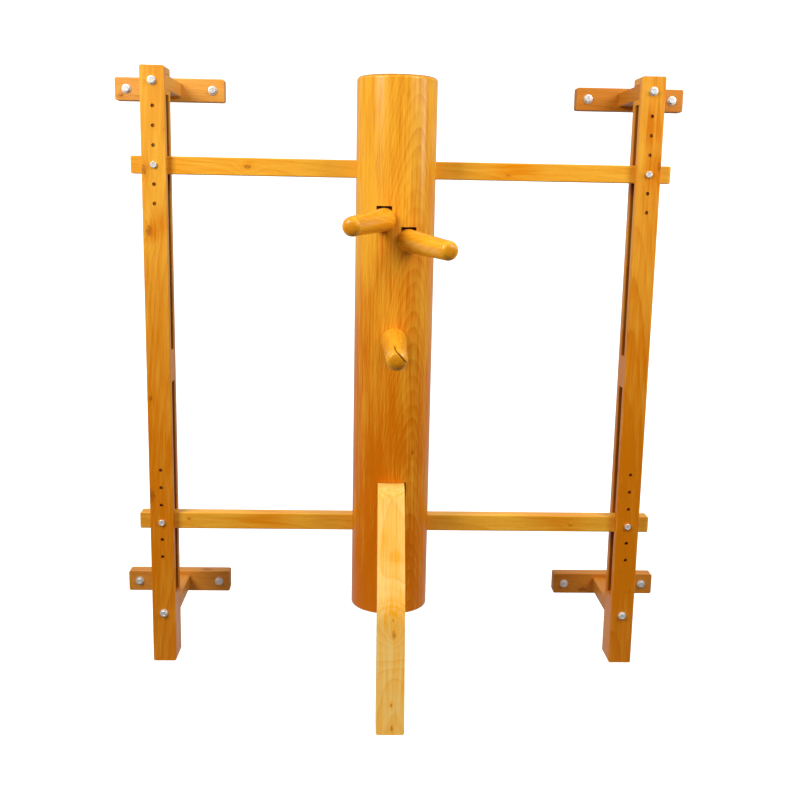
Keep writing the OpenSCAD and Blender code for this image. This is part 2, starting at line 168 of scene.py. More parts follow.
def wood(name, origin, turn, pale, deep, dark, pith=(0.05, 0.03), ring=0.009, warp=0.012,
         lean=0.035, bend=None, contrast=0.6, knots=(), fall=None, edge=None, inside=None,
         roughness=0.33, seed=0.0, streaks=0.35, stains=(), check=None):
    """Varnished wood whose growth rings lie round a pith line along the grain.

    origin and turn place the timber's own frame, with z along the grain. pale, deep and
    dark are early wood, varnished late wood, and knots and end grain. ring is the distance
    from one ring to the next, and warp how far the rings stray. lean is how much the pith
    line runs out of the timber for each metre of its length. bend is (z, slope) where
    grown wood turns towards +y. fall is (z of the pale end, z of the deep end, amount) for
    wood painted deeper along its length: partly the wood's own tone, partly painted shade
    where the light from above falls off. edge is the half width and half depth of a square
    timber with worn arrises. inside is how much the walls of the holes and slots through
    it are painted dark as painted shade, and for a round log also its radius. check is
    (distance from the z axis, turn, z of its tip end) of a drying check with dark walls.
    stains are (x, y, z, radius) clouds where the varnish has soaked in more."""
    g = Graph(name)
    place = g.node("ShaderNodeTexCoord").outputs["Object"]
    mapping = g.node("ShaderNodeMapping", place, tuple(origin), tuple(turn), (1, 1, 1),
                     vector_type="TEXTURE")
    local = mapping.outputs[0]
    axes = g.node("ShaderNodeSeparateXYZ", local).outputs
    if bend:
        past = g.math("MAXIMUM", g.math("SUBTRACT", axes[2], bend[0]), 0.0)
        shift = g.node("ShaderNodeCombineXYZ", 0.0, g.math("MULTIPLY", past, bend[1]), 0.0)
        local = g.vector("SUBTRACT", local, shift.outputs[0])
        axes = g.node("ShaderNodeSeparateXYZ", local).outputs

    # Growth rings: distance from a wandering pith line
    shifted = g.vector("ADD", local, (seed, seed * 1.7, seed * 2.3))
    slow = g.noise(g.times(shifted, (5.0, 5.0, 1.1)), 1.0, 2.0)
    wander = g.noise(g.times(shifted, (16.0, 16.0, 3.0)), 1.0, 3.0)
    push, halo, core, rim = knots_at(g, local, knots)
    flat = g.vector("SUBTRACT", g.times(local, (1.0, 1.0, 0.0)), (pith[0], pith[1], 0.0))
    radius = g.math("MULTIPLY_ADD", axes[2], lean, g.vector("LENGTH", flat))
    radius = g.math("MULTIPLY_ADD", slow, warp * 4, radius)
    radius = g.math("MULTIPLY_ADD", wander, warp, radius)
    radius = g.math("ADD", radius, push)
    turns = g.math("DIVIDE", radius, ring)
    phase = g.math("FRACT", turns)
    late = g.math("MULTIPLY", g.ramp(phase, 0.15, 0.82), g.ramp(phase, 1.0, 0.9))
    # No two rings are equally strong
    year = g.node("ShaderNodeTexWhiteNoise", None, g.math("FLOOR", turns),
                  noise_dimensions="1D").outputs[0]
    late = g.math("MULTIPLY", late, g.math("MULTIPLY_ADD", year, 0.75, 0.35))

    # Fibres, pores and slow changes of tone
    streak = g.noise(g.times(shifted, (110.0, 110.0, 4.0)), 1.0, 4.0, 0.6)
    strand = g.noise(g.times(shifted, (330.0, 330.0, 9.0)), 1.0, 3.0, 0.6)
    fibre = g.noise(g.times(shifted, (900.0, 900.0, 28.0)), 1.0, 3.0, 0.65)
    pore = g.ramp(g.noise(g.times(shifted, (1500.0, 1500.0, 60.0)), 1.0, 1.0), 0.63, 0.72)
    cloud = g.noise(g.times(shifted, (9.0, 9.0, 2.6)), 1.0, 3.0, 0.55)

    amount = g.math("MULTIPLY", late, contrast)
    amount = g.math("MULTIPLY_ADD", g.math("SUBTRACT", streak, 0.5), streaks * 2, amount)
    amount = g.math("MULTIPLY_ADD", g.math("SUBTRACT", strand, 0.5), streaks * 2, amount)
    amount = g.math("MULTIPLY_ADD", g.math("SUBTRACT", cloud, 0.45), 1.4, amount)
    # Painted deeper along the length: partly the wood's own tone, partly painted shade where the
    # light from above falls off
    if fall:
        amount = g.math("ADD", amount, g.ramp(axes[2], fall[0], fall[1], 0.0, fall[2]))
    for x, y, z, size in stains:
        away = g.times(g.vector("SUBTRACT", local, (x, y, z)), (1.0, 1.0, 0.6))
        near = g.ramp(g.vector("LENGTH", away), size, 0.0)
        amount = g.math("MULTIPLY_ADD", g.math("MULTIPLY", near, streak), 1.1, amount)
    amount = g.math("MULTIPLY_ADD", fibre, 0.22, amount, clamp=True)
    colour = g.mix(amount, pale, deep)

    # Dark lines of the latest wood, pores, knots and end grain
    line = g.math("MULTIPLY", g.ramp(phase, 0.72, 0.86), g.ramp(phase, 1.0, 0.93))
    line = g.math("MULTIPLY", line, g.math("MULTIPLY", year, contrast * 0.5))
    colour = g.mix(line, colour, dark)
    colour = g.mix(g.math("MULTIPLY", pore, 0.22), colour, dark)
    if knots:
        # A stained halo, then a broken bark line and fine branching checks in the core
        halo = g.math("MULTIPLY", halo, g.ramp(cloud, 0.25, 0.65))
        colour = g.mix(g.math("MULTIPLY", halo, 0.55), colour, deep)
        colour = g.mix(g.math("MULTIPLY", core, 0.50), colour, dark)
        vein = g.math("SUBTRACT", g.noise(g.times(shifted, (230.0, 230.0, 130.0)), 1.0, 2.0), 0.5)
        vein = g.math("MULTIPLY", g.ramp(g.math("ABSOLUTE", vein), 0.045, 0.0), core)
        broken = g.ramp(g.noise(g.times(shifted, (170.0, 170.0, 110.0)), 1.0, 1.0), 0.47, 0.60)
        rim = g.math("MAXIMUM", g.math("MULTIPLY", rim, broken), vein)
        colour = g.mix(g.math("MULTIPLY", rim, 0.5), colour, darker(dark))
    along = g.node("ShaderNodeVectorRotate", g.node("ShaderNodeTexCoord").outputs["Normal"],
                   rotation_type="EULER_XYZ", invert=True)
    along.inputs["Rotation"].default_value = turn
    facing = g.math("ABSOLUTE", g.node("ShaderNodeSeparateXYZ", along.outputs[0]).outputs[2])
    end = g.ramp(facing, 0.75, 0.97)
    colour = g.mix(g.math("MULTIPLY", end, 0.42), colour, g.mix(late, deep, dark))
    worn = 0.0
    if edge:
        beside = g.math("SUBTRACT", edge[0], g.math("ABSOLUTE", axes[0]))
        behind = g.math("SUBTRACT", edge[1], g.math("ABSOLUTE", axes[1]))
        near = g.ramp(g.math("MAXIMUM", beside, behind), 0.005, 0.0005)
        rubbed = g.ramp(g.noise(g.times(shifted, (60.0, 60.0, 12.0)), 1.0, 4.0), 0.38, 0.66)
        worn = g.math("MULTIPLY", near, rubbed)
        colour = g.mix(g.math("MULTIPLY", worn, 0.5), colour, pale)
    if check:
        across = (math.sin(check[1]), math.cos(check[1]), 0.0)
        chord = (math.cos(check[1]), -math.sin(check[1]), 0.0)
        off = g.math("SUBTRACT", g.vector("DOT_PRODUCT", local, across), check[0])
        past = g.math("MULTIPLY_ADD", g.vector("DOT_PRODUCT", local, chord), -1.2, axes[2])
        crack = g.math("MULTIPLY", g.ramp(g.math("ABSOLUTE", off), 0.0027, 0.0013),
                       g.ramp(past, check[2] - 0.045, check[2] - 0.030))
        colour = g.mix(g.math("MULTIPLY", crack, 0.75), colour, darker(dark))
    # Painted shade: the walls of holes and slots inside the timber are painted dark where shade
    # falls in them
    if inside:
        if edge:
            depth = g.math("MINIMUM", beside, behind)
        else:
            depth = g.math("SUBTRACT", inside[1],
                           g.vector("LENGTH", g.times(local, (1.0, 1.0, 0.0))))
        painted_hole_shade = g.math("MULTIPLY", g.ramp(depth, 0.0012, 0.005), g.ramp(end, 0.5, 0.1))
        colour = g.mix(g.math("MULTIPLY", painted_hole_shade, inside[0]), colour, darker(darker(dark)))
    g.put(g.shader.inputs["Base Color"], colour)

    # Varnish: uneven, a little duller on fibres, duller on worn arrises and end grain
    uneven = g.noise(g.times(shifted, (7.0, 7.0, 3.0)), 1.0, 4.0, 0.6)
    gloss = g.math("MULTIPLY_ADD", g.math("SUBTRACT", uneven, 0.5), 0.16, roughness)
    gloss = g.math("MULTIPLY_ADD", fibre, 0.04, gloss)
    gloss = g.math("MULTIPLY_ADD", end, 0.05, gloss)
    gloss = g.math("MULTIPLY_ADD", worn, 0.12, gloss)
    g.put(g.shader.inputs["Roughness"], gloss)
    g.shader.inputs["Specular IOR Level"].default_value = 0.32

    # Relief: planed waves, raised late wood, fibres, and checks around knots
    wave = g.bump(uneven, 0.0016, 0.35)
    raised = g.bump(late, 0.00012, 0.5, wave)
    grain = g.bump(g.math("SUBTRACT", fibre, pore), 0.00010, 0.45, raised)
    if knots:
        grain = g.bump(g.math("MULTIPLY_ADD", rim, -1.0, core), 0.0005, 0.6, grain)
    g.put(g.shader.inputs["Normal"], grain)
    return g.material


def darker(colour):
    """A much darker and browner shade, for bark lines, cracks and the painted shade in holes and
    slots.
    """
    return (colour[0] * 0.45, colour[1] * 0.30, colour[2] * 0.2, 1.0)


def dress(node, material):
    mesh = nodes[node].data
    mesh.materials.clear()
    mesh.materials.append(material)


# ---------------------------------------------------------------- colours

TRUNK_PALE = srgb(255, 186, 52)
TRUNK_DEEP = srgb(222, 118, 0)
TRUNK_DARK = srgb(168, 78, 0)
POST_PALE = srgb(246, 178, 56)
POST_DEEP = srgb(220, 124, 0)
POST_DARK = srgb(158, 78, 4)
BAR_PALE = srgb(255, 190, 60)
BAR_DEEP = srgb(236, 142, 4)
BAR_DARK = srgb(166, 92, 12)
BLOCK_PALE = srgb(246, 176, 76)
BLOCK_DEEP = srgb(204, 120, 14)
BLOCK_DARK = srgb(132, 68, 6)
ARM_PALE = srgb(255, 184, 42)
ARM_DEEP = srgb(224, 122, 0)
ARM_DARK = srgb(172, 84, 2)
LEG_PALE = srgb(255, 212, 122)
LEG_DEEP = srgb(255, 174, 28)
LEG_DARK = srgb(172, 96, 16)
PEG_PALE = srgb(196, 130, 60)
PEG_DEEP = srgb(160, 92, 28)
PEG_DARK = srgb(104, 56, 16)


# ---------------------------------------------------------------- timbers

def dress_uprights():
    half = half_size("left_upright")
    left = [(-0.029, -half.y, 0.551, 0.0075, 0.030), (-0.018, -half.y, 0.376, 0.008, 0.045),
            (0.030, -half.y, 0.665, 0.0018, 0.008), (-0.032, -half.y, -0.423, 0.013, 0.040),
            (-half.x, -0.040, -0.581, 0.006, 0.025), (-0.026, -half.y, -0.120, 0.005, 0.020),
            (half.x, 0.010, 0.180, 0.009, 0.035), (-half.x, 0.012, -0.700, 0.008, 0.030),
            (0.010, half.y, 0.300, 0.010, 0.040)]
    right = [(0.033, -half.y, 0.588, 0.008, 0.035), (0.018, -half.y, -0.721, 0.0020, 0.010),
             (-0.017, -half.y, -0.656, 0.0014, 0.008), (-half.x, -0.030, -0.330, 0.007, 0.030),
             (half.x, 0.020, -0.100, 0.010, 0.040), (-0.012, half.y, -0.560, 0.009, 0.035)]
    stains = {"left_upright": [(0.014, -half.y, 0.397, 0.045), (-0.014, -half.y, 0.372, 0.03)],
              "right_upright": [(0.004, -half.y, 0.700, 0.05), (0.02, -half.y, 0.57, 0.05)]}
    # top is where each post starts to be painted deeper, partly its own tone and partly painted
    # shade where the light from above falls off. The right post's top lies above the post, so the
    # whole post is painted deeper, partly as painted shade away from the key light at left. inside
    # paints the walls of the slots and holes dark as painted shade.
    for node, knots, pith, seed, top in (
            ("left_upright", left, (0.05, 0.09), 1.3, 0.70),
            ("right_upright", right, (-0.03, 0.10), 4.1, 1.60)):
        middle = centre(node)
        origin = (middle.x, middle.y, 0.0)
        material = wood(node + "_wood", origin, GRAIN_Z, POST_PALE, POST_DEEP, POST_DARK,
                        pith=pith, ring=0.0065, warp=0.005, contrast=0.26, knots=knots,
                        fall=(top, -0.75, 0.7), edge=(half.x, half.y), inside=(0.68,),
                        roughness=0.30,
                        seed=seed, streaks=0.5, stains=stains[node])
        dress(node, material)


def dress_bars():
    for node, knots, stains, seed in (
            ("upper_crossbar",
             [(0.0, -0.021, -0.452, 0.005, 0.030), (0.010, -0.021, 0.310, 0.003, 0.015)],
             [(0.0, -0.021, 0.33, 0.06)], 2.2),
            ("lower_crossbar",
             [(0.004, -0.021, 0.545, 0.003, 0.015), (-0.006, -0.021, -0.640, 0.003, 0.015)],
             [(0.0, -0.021, -0.40, 0.07), (0.0, -0.021, 0.50, 0.09)], 5.6)):
        middle, half = centre(node), half_size(node)
        origin = (0.0, middle.y, middle.z)
        material = wood(node + "_wood", origin, GRAIN_X, BAR_PALE, BAR_DEEP, BAR_DARK,
                        pith=(0.03, 0.07), ring=0.0055, warp=0.003, contrast=0.2,
                        knots=knots, edge=(half.z, half.y), roughness=0.28, seed=seed,
                        streaks=0.55, stains=stains)
        dress(node, material)


def dress_brackets():
    # deeper is how far each block and its standoff are painted towards the deeper colours: partly
    # each block's own tone, partly painted shade on the blocks lower down and to the right, away
    # from the key light at upper left
    looks = {"upper_left": (0.0, 7.3, [(0.020, -0.021, -0.150, 0.004, 0.020)]),
             "upper_right": (0.8, 8.8, [(-0.012, -0.021, 0.060, 0.003, 0.015)]),
             "lower_left": (0.45, 9.4, [(-0.035, -0.004, 0.090, 0.008, 0.030)]),
             "lower_right": (0.7, 3.7, [(0.020, -0.021, -0.070, 0.007, 0.030)])}
    for place, (deeper, seed, knots) in looks.items():
        pale = [p + (d - p) * deeper for p, d in zip(BLOCK_PALE, BLOCK_DEEP)]
        deep = [p + (d - p) * deeper * 0.5 for p, d in zip(BLOCK_DEEP, BLOCK_DARK)]
        node = place + "_wall_block"
        half = half_size(node)
        material = wood(node + "_wood", centre(node), GRAIN_X, pale, deep, BLOCK_DARK,
                        pith=(0.05, 0.05), ring=0.0042, warp=0.004, contrast=0.34,
                        knots=knots, edge=(half.z, half.y), roughness=0.38, seed=seed)
        dress(node, material)
        node = place + "_standoff"
        half = half_size(node)
        material = wood(node + "_wood", centre(node), GRAIN_Y, pale, deep, BLOCK_DARK,
                        pith=(0.06, -0.04), ring=0.0045, warp=0.004, contrast=0.34,
                        edge=(half.x, half.z), roughness=0.38, seed=seed + 1.9)
        dress(node, material)


# ---------------------------------------------------------------- trunk, arms, leg

LEFT_ARM_SPLAY = math.radians(17.7)
RIGHT_ARM_SPLAY = math.radians(19)
ARM_DROOP = math.radians(2.5)
THIGH_ANGLE = math.radians(54.5)
CALF_ANGLE = math.radians(75)
KNEE_ALONG = 0.36               # from the foot's front edge to the knee along the calf
ARM_REACH = 0.415               # from the trunk's axis to an arm's tip
CHECK_FROM_AXIS = 0.0114        # from the middle arm's axis to its drying check
CHECK_TURN = math.radians(47.4)  # of the check's plane below level, seen from the front
CHECK_WIDTH = 0.0022
CHECK_WANDER = 0.0007           # how far the check strays from its plane


def trunk_axis():
    """The trunk's axis as a point at height 0."""
    middle = centre("trunk")
    return Vector((middle.x, middle.y, 0.0))


def arm_direction(splay):
    """Outward along an arm, from the trunk to its tip."""
    level = math.cos(ARM_DROOP)
    return Vector((math.sin(splay) * level, -math.cos(splay) * level, -math.sin(ARM_DROOP)))


def middle_arm_height():
    """The height at which the middle arm's axis meets the trunk's."""
    points = [v.co for v in nodes["middle_arm"].data.vertices]
    tip = min(points, key=lambda point: point.y)
    return tip.z - (tip.y - trunk_axis().y) * math.tan(ARM_DROOP)


def dress_trunk():
    # fall paints the trunk deeper towards its bottom, partly its own tone and partly painted shade
    # where the light from above falls off; inside paints the walls of its mortises dark as painted
    # shade
    material = wood("trunk_wood", trunk_axis(), GRAIN_Z, TRUNK_PALE, TRUNK_DEEP, TRUNK_DARK,
                    pith=(0.15, -0.27), ring=0.0075, warp=0.010, lean=0.16, contrast=0.24,
                    knots=[(0.060, -0.098, -0.25, 0.004, 0.02)], fall=(0.62, -0.60, 0.84),
                    inside=(0.9, half_size("trunk").x), roughness=0.20, seed=0.6,
                    streaks=0.75)
    dress("trunk", material)


def dress_arms():
    for node, splay, seed in (("upper_left_arm", -LEFT_ARM_SPLAY, 1.1),
                              ("upper_right_arm", RIGHT_ARM_SPLAY, 3.3),
                              ("middle_arm", 0.0, 6.2)):
        turn = arm_direction(splay).to_track_quat("Z", "Y").to_euler()
        low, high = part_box(node)
        origin = trunk_axis() + Vector((0, 0, (low.z + high.z) / 2))
        check = None
        if node == "middle_arm":
            origin.z = middle_arm_height()
            check = (CHECK_FROM_AXIS, CHECK_TURN, ARM_REACH)
        material = wood(node + "_wood", origin, turn, ARM_PALE, ARM_DEEP, ARM_DARK,
                        pith=(0.009, 0.014), ring=0.005, warp=0.005, lean=0.10,
                        contrast=0.22, roughness=0.15, seed=seed, streaks=0.6, check=check)
        dress(node, material)


def dress_leg():
    turn = (CALF_ANGLE - math.pi / 2, 0.0, 0.0)
    low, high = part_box("leg")
    origin = ((low.x + high.x) / 2, low.y, low.z)
    knots = [(0.006, 0.0, 0.310, 0.0022, 0.100), (0.008, 0.0, 0.270, 0.006, 0.025),
             (0.003, 0.0, 0.080, 0.003, 0.015), (-0.002, 0.0, 0.500, 0.002, 0.010),
             (0.004, 0.0, 0.018, 0.004, 0.012)]
    material = wood("leg_wood", origin, turn, LEG_PALE, LEG_DEEP, LEG_DARK,
                    pith=(0.012, 0.16), ring=0.0060, warp=0.007, lean=0.05,
                    bend=(KNEE_ALONG, math.tan(CALF_ANGLE - THIGH_ANGLE)), contrast=0.24,
                    knots=knots, roughness=0.17, seed=2.7, streaks=0.75,
                    stains=[(0.004, 0.0, 0.33, 0.06), (0.0, 0.0, 0.50, 0.07)])
    dress("leg", material)


def dress_pegs():
    for i, node in enumerate(("upper_left_arm_peg", "upper_right_arm_peg",
                              "middle_arm_peg", "leg_peg")):
        material = wood(node + "_wood", centre(node), GRAIN_Z, PEG_PALE, PEG_DEEP, PEG_DARK,
                        pith=(0.004, 0.006), ring=0.003, warp=0.002, contrast=0.5,
                        roughness=0.36, seed=i * 1.9)
        dress(node, material)


def check_blade(tip, ahead):
    """The air in the drying check that crosses the middle arm's tip, as a thin blade. Its
    outline is a list of (along the check, back from the tip, share of the full width)."""
    right = Vector((1.0, 0.0, 0.0))
    up = ahead.cross(right)
    if up.z < 0:
        up.negate()
    across = right * math.sin(CHECK_TURN) + up * math.cos(CHECK_TURN)
    chord = right * math.cos(CHECK_TURN) - up * math.sin(CHECK_TURN)
    outline = [(-0.045, -0.006, 1.0), (0.045, -0.006, 1.0), (0.045, 0.030, 0.5),
               (0.020, 0.022, 0.3), (0.013, 0.009, 0.4), (-0.010, 0.010, 0.4),
               (-0.017, 0.060, 0.25), (-0.045, 0.085, 0.35)]
    shape = bmesh.new()
    sides = []
    for side in (-1, 1):
        sides.append([shape.verts.new(
            tip - ahead * back + chord * along
            + across * (CHECK_FROM_AXIS + side * CHECK_WIDTH / 2 * thick
                        + CHECK_WANDER * math.sin(along * 300 + back * 120)))
            for along, back, thick in outline])
    skin(shape, sides)
    bmesh.ops.recalc_face_normals(shape, faces=shape.faces)
    mesh = bpy.data.meshes.new("check_blade")
    shape.to_mesh(mesh)
    shape.free()
    blade = bpy.data.objects.new("check_blade", mesh)
    scene.collection.objects.link(blade)
    return blade


def make_checked_arm():
    """The middle arm again, with its drying check cut in."""
    material = nodes["middle_arm"].data.materials[0]
    shape = bmesh.new()
    shape.from_mesh(nodes["middle_arm"].data)
    bmesh.ops.remove_doubles(shape, verts=shape.verts, dist=0.00001)
    bmesh.ops.recalc_face_normals(shape, faces=shape.faces)
    whole = bpy.data.meshes.new("whole_arm")
    shape.to_mesh(whole)
    shape.free()
    piece = bpy.data.objects.new("checked_middle_arm", whole)
    scene.collection.objects.link(piece)
    ahead = arm_direction(0.0)
    reach = (trunk_axis().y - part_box("middle_arm")[0].y) / -ahead.y
    tip = trunk_axis() + Vector((0, 0, middle_arm_height())) + ahead * reach
    blade = check_blade(tip, ahead)
    cut = piece.modifiers.new("check", "BOOLEAN")
    cut.operation = "DIFFERENCE"
    cut.solver = "EXACT"
    cut.object = blade
    bpy.context.view_layer.update()
    evaluated = piece.evaluated_get(bpy.context.evaluated_depsgraph_get())
    piece.data = bpy.data.meshes.new_from_object(evaluated)
    piece.modifiers.clear()
    bpy.data.objects.remove(blade)
    piece.data.shade_smooth()
    piece.data.set_sharp_from_angle(angle=math.radians(32))
    piece.data.materials.clear()
    piece.data.materials.append(material)
    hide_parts("middle_arm")
    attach(piece, "middle_arm")



# ---------------------------------------------------------------- metal

def metal(name, colour, tint, roughness):
    """Plated steel with blotchy plating, fine scratches and dull patches."""
    g = Graph(name)
    place = g.node("ShaderNodeTexCoord").outputs["Object"]
    blotch = g.noise(g.times(place, (140.0, 140.0, 140.0)), 1.0, 4.0, 0.6)
    scratch = g.noise(g.times(place, (2600.0, 300.0, 900.0)), 1.0, 3.0, 0.7)
    g.put(g.shader.inputs["Base Color"], g.mix(g.ramp(blotch, 0.35, 0.7), colour, tint))
    rough = g.math("MULTIPLY_ADD", blotch, 0.22, roughness - 0.1)
    g.put(g.shader.inputs["Roughness"], g.math("MULTIPLY_ADD", scratch, 0.08, rough))
    g.shader.inputs["Metallic"].default_value = 0.4
    g.put(g.shader.inputs["Normal"], g.bump(scratch, 0.00008, 0.4))
    return g.material


def dress_metal():
    zinc = metal("zinc", (0.94, 0.94, 0.93, 1), (0.68, 0.68, 0.66, 1), 0.30)
    yellow = metal("yellow_zinc", (0.84, 0.70, 0.34, 1), (0.68, 0.55, 0.28, 1), 0.34)
    make_fasteners(zinc, yellow)


# ---------------------------------------------------------------- fasteners

SEGMENTS = 48
HEX_FLATS = 0.017
HEX_FACE = HEX_FLATS * 0.46     # radius of the flat face inside the chamfer
HEX_HEIGHT = 0.0065
FILLET = 0.0008                 # under a head, and at the mouth of a bore
SHANK_RADIUS = 0.005
COACH_PITCH = 0.0045
BOLT_PITCH = 0.0015
BOLT_THREAD_LENGTH = 0.032
HOLE_RADIUS = 0.0055
NUT_BORE = 0.00505
WALL_WASHER_RADIUS = 0.014
BRACKET_WASHER_RADIUS = 0.0125
NUT_WASHER_RADIUS = 0.010
BLOCK_SCREW_OFFSET = 0.020      # from a standoff's centre line
BLOCK_SCREW_RADIUS = 0.003


def loop(shape, radius, y):
    """Vertices round the Y axis. radius and y are numbers or functions of the angle."""
    made = []
    for i in range(SEGMENTS):
        angle = 2 * math.pi * i / SEGMENTS
        r = radius(angle) if callable(radius) else radius
        height = y(angle) if callable(y) else y
        made.append(shape.verts.new((r * math.cos(angle), height, r * math.sin(angle))))
    return made


def skin(shape, loops, ring=False):
    """Joins each loop of vertices to the next. A ring's last loop joins its first, and
    anything else is closed at both ends."""
    pairs = list(zip(loops, loops[1:]))
    if ring:
        pairs.append((loops[-1], loops[0]))
    for a, b in pairs:
        for i in range(len(a)):
            j = (i + 1) % len(a)
            shape.faces.new((a[i], a[j], b[j], b[i]))
    if not ring:
        shape.faces.new(loops[0])
        shape.faces.new(loops[-1])


def hexagon(angle):
    """From the middle of a hexagon to its side, in the direction of an angle."""
    return HEX_FLATS / 2 / math.cos(angle % (math.pi / 3) - math.pi / 6)


def chamfer(face, inward):
    """The height of a hexagon's chamfered edge at an angle, inward from its face."""
    return lambda angle: face + inward * (hexagon(angle) - HEX_FACE) * 0.55


def hex_head(shape, face):
    """Loops of a hexagon head whose chamfered face is at y = face, dished in its middle."""
    dish = face + 0.0004
    return [loop(shape, 0.0034, dish), loop(shape, 0.0056, dish), loop(shape, 0.0062, face),
            loop(shape, HEX_FACE, face), loop(shape, hexagon, chamfer(face, 1)),
            loop(shape, hexagon, face + HEX_HEIGHT)]


def helix(shape, root, crest, pitch, start, end):
    """A screw thread: a ridge wound round the Y axis that dies away at both ends. root is a
    function of y, so that the thread can follow a point."""
    per_turn = 30
    steps = int((end - start) / pitch * per_turn)
    loops = []
    for i in range(steps + 1):
        angle = 2 * math.pi * i / per_turn
        y = start + pitch * i / per_turn
        fade = min(1.0, 2 * i / per_turn, 2 * (steps - i) / per_turn)
        inner = root(y) * 0.93
        outer = inner + (crest - inner) * fade * min(1.0, root(y) / root(start))
        across = [(inner, -0.40), (outer, -0.05), (outer, 0.05), (inner, 0.40)]
        loops.append([shape.verts.new((r * math.cos(angle), y + offset * pitch,
                                       r * math.sin(angle))) for r, offset in across])
    skin(shape, loops)


def coach_screw(shape, face, wood, tip):
    """A hexagon-headed wood screw from y = face to tip; its thread starts at y = wood."""
    core = SHANK_RADIUS * 0.70
    point = tip - 0.008
    seat = face + HEX_HEIGHT
    skin(shape, hex_head(shape, face) + [
        loop(shape, SHANK_RADIUS + FILLET, seat), loop(shape, SHANK_RADIUS, seat + 0.0006),
        loop(shape, SHANK_RADIUS, wood), loop(shape, core, wood + 0.002),
        loop(shape, core, point), loop(shape, 0.0003, tip)])
    helix(shape, lambda y: core * min(1.0, (tip + 0.001 - y) / 0.009), 0.00472,
          COACH_PITCH, wood + 0.003, tip - 0.002)


def machine_bolt(shape, face, tip):
    """A hexagon-headed bolt from y = face to tip, threaded at its end."""
    core = SHANK_RADIUS * 0.84
    thread = tip - BOLT_THREAD_LENGTH
    seat = face + HEX_HEIGHT
    skin(shape, hex_head(shape, face) + [
        loop(shape, SHANK_RADIUS + FILLET, seat), loop(shape, SHANK_RADIUS, seat + 0.0006),
        loop(shape, SHANK_RADIUS, thread), loop(shape, core, thread + 0.001),
        loop(shape, core, tip - 0.0008), loop(shape, core * 0.8, tip)])
    helix(shape, lambda y: core, SHANK_RADIUS, BOLT_PITCH, thread + 0.0012, tip - 0.0012)


def hex_nut(shape, low, high):
    """A nut from y = low to high, chamfered on both faces and at its bore."""
    skin(shape, [
        loop(shape, NUT_BORE, low + FILLET), loop(shape, NUT_BORE + FILLET, low),
        loop(shape, HEX_FACE, low), loop(shape, hexagon, chamfer(low, 1)),
        loop(shape, hexagon, chamfer(high, -1)), loop(shape, HEX_FACE, high),
        loop(shape, NUT_BORE + FILLET, high), loop(shape, NUT_BORE, high - FILLET)], ring=True)


def washer(shape, radius, low, high):
    """A pressed washer: its front outer edge is rolled, its back edge sharp."""
    roll = 0.0006
    skin(shape, [
        loop(shape, HOLE_RADIUS, high), loop(shape, HOLE_RADIUS, low + roll / 2),
        loop(shape, HOLE_RADIUS + roll / 2, low), loop(shape, radius - roll, low),
        loop(shape, radius - roll * 0.3, low + roll * 0.3), loop(shape, radius, low + roll),
        loop(shape, radius, high)], ring=True)


def cross_recess(angle):
    """The outline of a cross-shaped driver recess."""
    return 0.0010 + 0.0021 * max(0.0, math.cos(4 * angle)) ** 3


def flat_screw(shape, face, tip):
    """A countersunk wood screw whose head is at y = face and whose point is at y = tip."""
    core = BLOCK_SCREW_RADIUS * 0.7
    skin(shape, [
        loop(shape, lambda angle: cross_recess(angle) * 0.5, face - 0.0022),
        loop(shape, cross_recess, face), loop(shape, 0.0055, face),
        loop(shape, 0.0054, face - 0.0004), loop(shape, BLOCK_SCREW_RADIUS, face - 0.0040),
        loop(shape, BLOCK_SCREW_RADIUS, face - 0.038), loop(shape, core, face - 0.039),
        loop(shape, core, tip + 0.008), loop(shape, 0.0003, tip)])
    helix(shape, lambda y: core * min(1.0, (y - tip + 0.001) / 0.009), BLOCK_SCREW_RADIUS,
          0.0026, tip + 0.002, face - 0.040)


def fasteners(name, node, material, places, build):
    """One piece that stands for a node's fasteners. build makes one round the Y axis for
    the height z; each is turned by chance and moved to its (x, z)."""
    whole = bmesh.new()
    for x, z in places:
        shape = bmesh.new()
        build(shape, z)
        turn = Matrix.Rotation(random.uniform(0, math.pi), 4, "Y")
        shape.transform(Matrix.Translation((x, 0, z)) @ turn)
        one = bpy.data.meshes.new("one")
        shape.to_mesh(one)
        shape.free()
        whole.from_mesh(one)
        bpy.data.meshes.remove(one)
    bmesh.ops.recalc_face_normals(whole, faces=whole.faces)
    mesh = bpy.data.meshes.new(name)
    whole.to_mesh(mesh)
    whole.free()
    mesh.shade_smooth()
    mesh.set_sharp_from_angle(angle=math.radians(28))
    mesh.materials.append(material)
    piece = bpy.data.objects.new(name, mesh)
    scene.collection.objects.link(piece)
    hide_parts(node)
    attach(piece, "frame")


